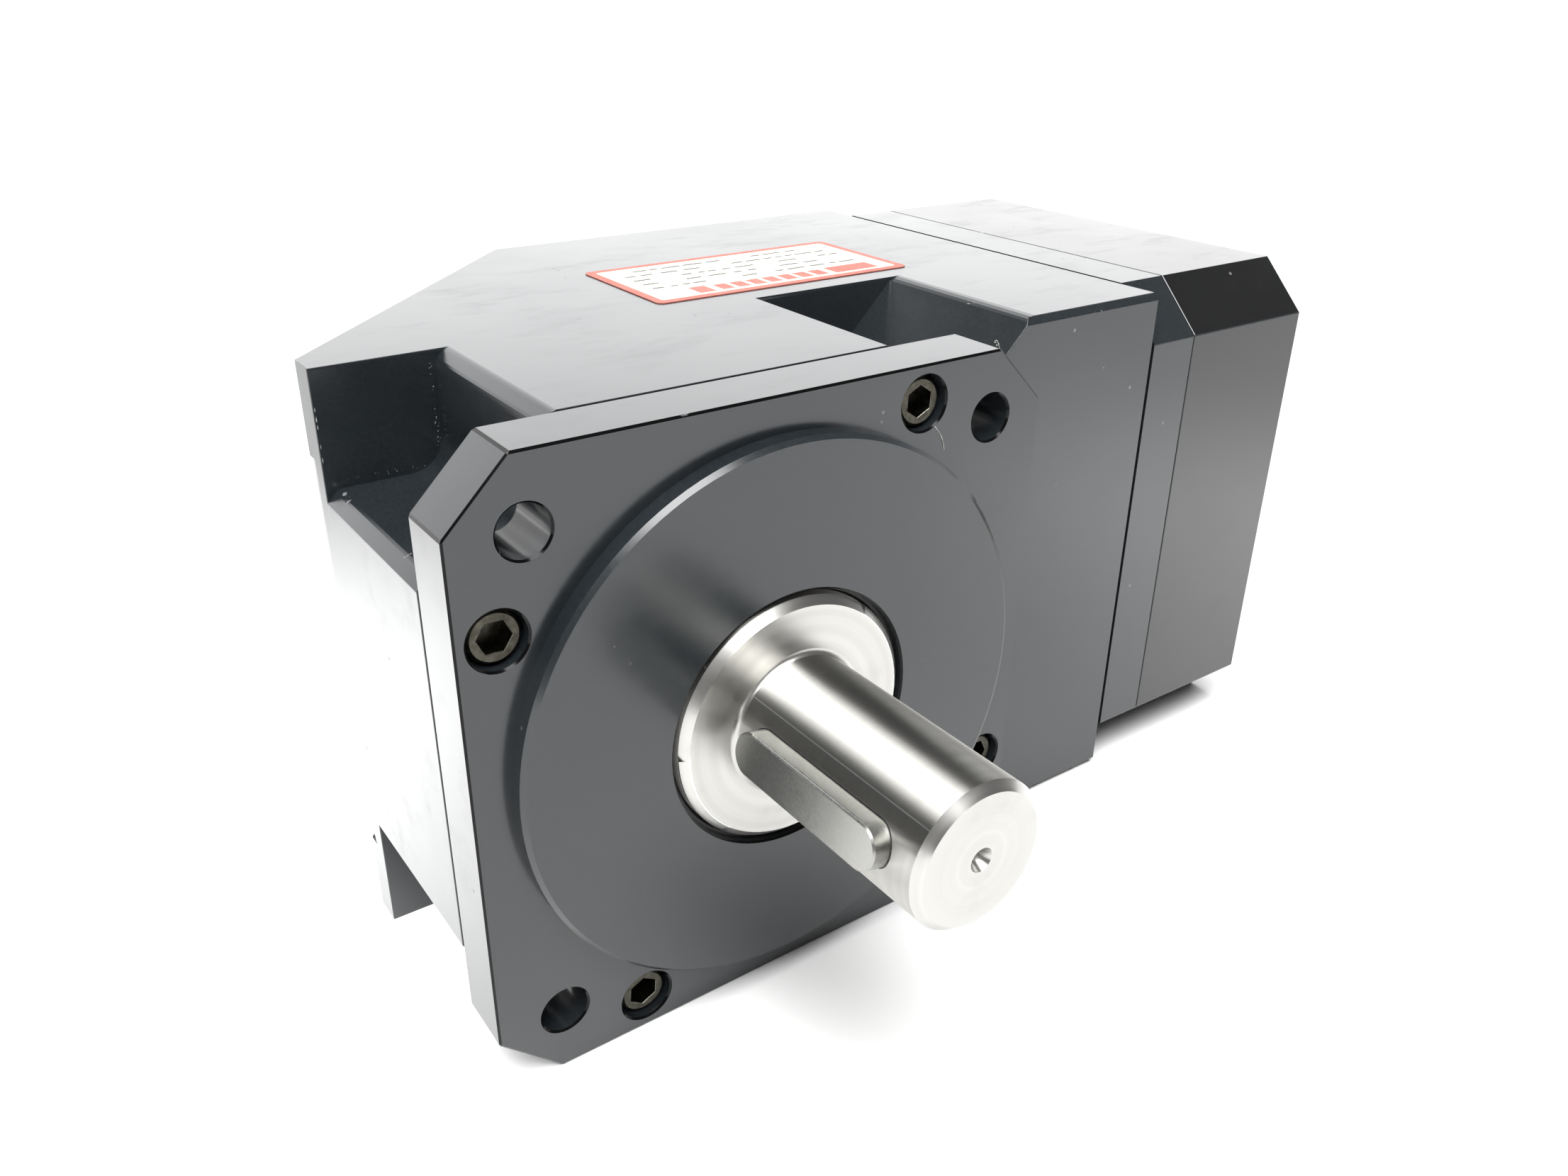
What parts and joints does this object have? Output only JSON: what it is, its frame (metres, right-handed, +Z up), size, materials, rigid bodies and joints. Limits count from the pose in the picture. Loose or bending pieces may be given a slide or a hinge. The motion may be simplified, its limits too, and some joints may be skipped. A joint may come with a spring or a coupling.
{
  "type": "right-angle planetary gearbox",
  "caption": "Right-angle servo gearbox with square mounting flange, round pilot, keyed output shaft, corner screw recesses and a clamp-hub motor adapter at right angles.",
  "frame": {"origin": "centre of the mounting face of the output flange, on the output axis", "axes": "-Y out along the output shaft, +X towards the motor face, +Z up with the gearbox lying on its side as seen; input axis parallel to X at Y = 54 mm"},
  "size_m": [0.1658, 0.1382, 0.0902],
  "materials": {
    "black_anodised": "hard anodised, semi-gloss",
    "dark_anodised": "hard anodised, satin",
    "ground_steel": "ground, bright",
    "key_steel": "satin",
    "gear_steel": "oiled",
    "shaft_steel": "turned",
    "bearing_steel": "polished",
    "screw_steel": "blackened, worn",
    "clamp_black": "blackened",
    "seal_rubber": "moulded",
    "plug_plastic": "moulded",
    "label_print": "printed film"
  },
  "bodies": {
    "gearbox_body": {"housing": "black_anodised", "output_flange": "dark_anodised", "ring_gear": "gear_steel", "output_seal": "seal_rubber", "flange_o_ring": "seal_rubber", "flange_screws": "screw_steel", "input_plate": "black_anodised", "input_o_ring": "seal_rubber", "plate_screws": "screw_steel", "motor_adapter": "black_anodised", "adapter_screws": "screw_steel", "access_plug": "plug_plastic", "input_seal": "seal_rubber", "input_circlip": "screw_steel", "rating_label": "label_print", "front_bearing_outer": "bearing_steel", "rear_bearing_outer": "bearing_steel", "gear_bearing_outer": "bearing_steel", "pinion_bearing_1_outer": "bearing_steel", "pinion_bearing_2_outer": "bearing_steel"},
    "output_shaft": {"output_carrier": "ground_steel", "output_key": "key_steel", "planet_pins": "shaft_steel", "front_bearing_inner": "bearing_steel", "rear_bearing_inner": "bearing_steel", "sun_bearing_outer": "bearing_steel"},
    "sun_body": {"sun_shaft": "gear_steel", "bevel_gear": "gear_steel", "sun_bearing_inner": "bearing_steel", "gear_bearing_inner": "bearing_steel"},
    "input_body": {"input_shaft": "shaft_steel", "bevel_pinion": "gear_steel", "pinion_bearing_1_inner": "bearing_steel", "pinion_bearing_2_inner": "bearing_steel", "bearing_spacer": "shaft_steel", "clamp_ring": "clamp_black", "clamp_screw": "screw_steel"},
    "planet_1": {"planet_gear_1": "gear_steel"},
    "needle_set_1": {"needles_1": "bearing_steel"},
    "planet_2": {"planet_gear_2": "gear_steel"},
    "needle_set_2": {"needles_2": "bearing_steel"},
    "planet_3": {"planet_gear_3": "gear_steel"},
    "needle_set_3": {"needles_3": "bearing_steel"},
    "front_ball_set": {"front_bearing_balls": "bearing_steel"},
    "rear_ball_set": {"rear_bearing_balls": "bearing_steel"},
    "sun_ball_set": {"sun_bearing_balls": "bearing_steel"},
    "gear_ball_set": {"gear_bearing_balls": "bearing_steel"},
    "pinion_1_ball_set": {"pinion_bearing_1_balls": "bearing_steel"},
    "pinion_2_ball_set": {"pinion_bearing_2_balls": "bearing_steel"}
  },
  "joints": [
    {"name": "output_spin", "type": "hinge", "parent": "gearbox_body", "child": "output_shaft", "pos_m": [0, 0.02, 0], "axis": [0, 1, 0], "continuous": true},
    {"name": "sun_spin", "type": "hinge", "parent": "gearbox_body", "child": "sun_body", "pos_m": [0, 0.05, 0], "axis": [0, 1, 0], "continuous": true},
    {"name": "input_spin", "type": "hinge", "parent": "gearbox_body", "child": "input_body", "pos_m": [0.05, 0.054, 0], "axis": [1, 0, 0], "continuous": true},
    {"name": "planet_1_spin", "type": "hinge", "parent": "output_shaft", "child": "planet_1", "pos_m": [0, 0.0273, -0.01875], "axis": [0, 1, 0], "continuous": true},
    {"name": "needle_1_orbit", "type": "hinge", "parent": "output_shaft", "child": "needle_set_1", "pos_m": [0, 0.0273, -0.01875], "axis": [0, 1, 0], "continuous": true},
    {"name": "planet_2_spin", "type": "hinge", "parent": "output_shaft", "child": "planet_2", "pos_m": [-0.01624, 0.0273, 0.00937], "axis": [0, 1, 0], "continuous": true},
    {"name": "needle_2_orbit", "type": "hinge", "parent": "output_shaft", "child": "needle_set_2", "pos_m": [-0.01624, 0.0273, 0.00937], "axis": [0, 1, 0], "continuous": true},
    {"name": "planet_3_spin", "type": "hinge", "parent": "output_shaft", "child": "planet_3", "pos_m": [0.01624, 0.0273, 0.00937], "axis": [0, 1, 0], "continuous": true},
    {"name": "needle_3_orbit", "type": "hinge", "parent": "output_shaft", "child": "needle_set_3", "pos_m": [0.01624, 0.0273, 0.00937], "axis": [0, 1, 0], "continuous": true},
    {"name": "front_balls_orbit", "type": "hinge", "parent": "gearbox_body", "child": "front_ball_set", "pos_m": [0, 0.0115, 0], "axis": [0, 1, 0], "continuous": true},
    {"name": "rear_balls_orbit", "type": "hinge", "parent": "gearbox_body", "child": "rear_ball_set", "pos_m": [0, 0.0381, 0], "axis": [0, 1, 0], "continuous": true},
    {"name": "sun_balls_orbit", "type": "hinge", "parent": "gearbox_body", "child": "sun_ball_set", "pos_m": [0, 0.0388, 0], "axis": [0, 1, 0], "continuous": true},
    {"name": "gear_balls_orbit", "type": "hinge", "parent": "gearbox_body", "child": "gear_ball_set", "pos_m": [0, 0.0718, 0], "axis": [0, 1, 0], "continuous": true},
    {"name": "pinion_balls_1_orbit", "type": "hinge", "parent": "gearbox_body", "child": "pinion_1_ball_set", "pos_m": [0.0345, 0.054, 0], "axis": [1, 0, 0], "continuous": true},
    {"name": "pinion_balls_2_orbit", "type": "hinge", "parent": "gearbox_body", "child": "pinion_2_ball_set", "pos_m": [0.063, 0.054, 0], "axis": [1, 0, 0], "continuous": true}
  ],
  "couplings": [
    {"joint": "sun_spin", "follows": "output_spin", "ratio": 5},
    {"joint": "input_spin", "follows": "output_spin", "ratio": -10},
    {"joint": "planet_1_spin", "follows": "output_spin", "ratio": -2.6667},
    {"joint": "needle_1_orbit", "follows": "output_spin", "ratio": -1.6667},
    {"joint": "planet_2_spin", "follows": "output_spin", "ratio": -2.6667},
    {"joint": "needle_2_orbit", "follows": "output_spin", "ratio": -1.6667},
    {"joint": "planet_3_spin", "follows": "output_spin", "ratio": -2.6667},
    {"joint": "needle_3_orbit", "follows": "output_spin", "ratio": -1.6667},
    {"joint": "front_balls_orbit", "follows": "output_spin", "ratio": 0.43725},
    {"joint": "rear_balls_orbit", "follows": "output_spin", "ratio": 0.46311},
    {"joint": "sun_balls_orbit", "follows": "output_spin", "ratio": 2.7333},
    {"joint": "gear_balls_orbit", "follows": "output_spin", "ratio": 2.1667},
    {"joint": "pinion_balls_1_orbit", "follows": "output_spin", "ratio": -4.1579},
    {"joint": "pinion_balls_2_orbit", "follows": "output_spin", "ratio": -3.9677}
  ]
}
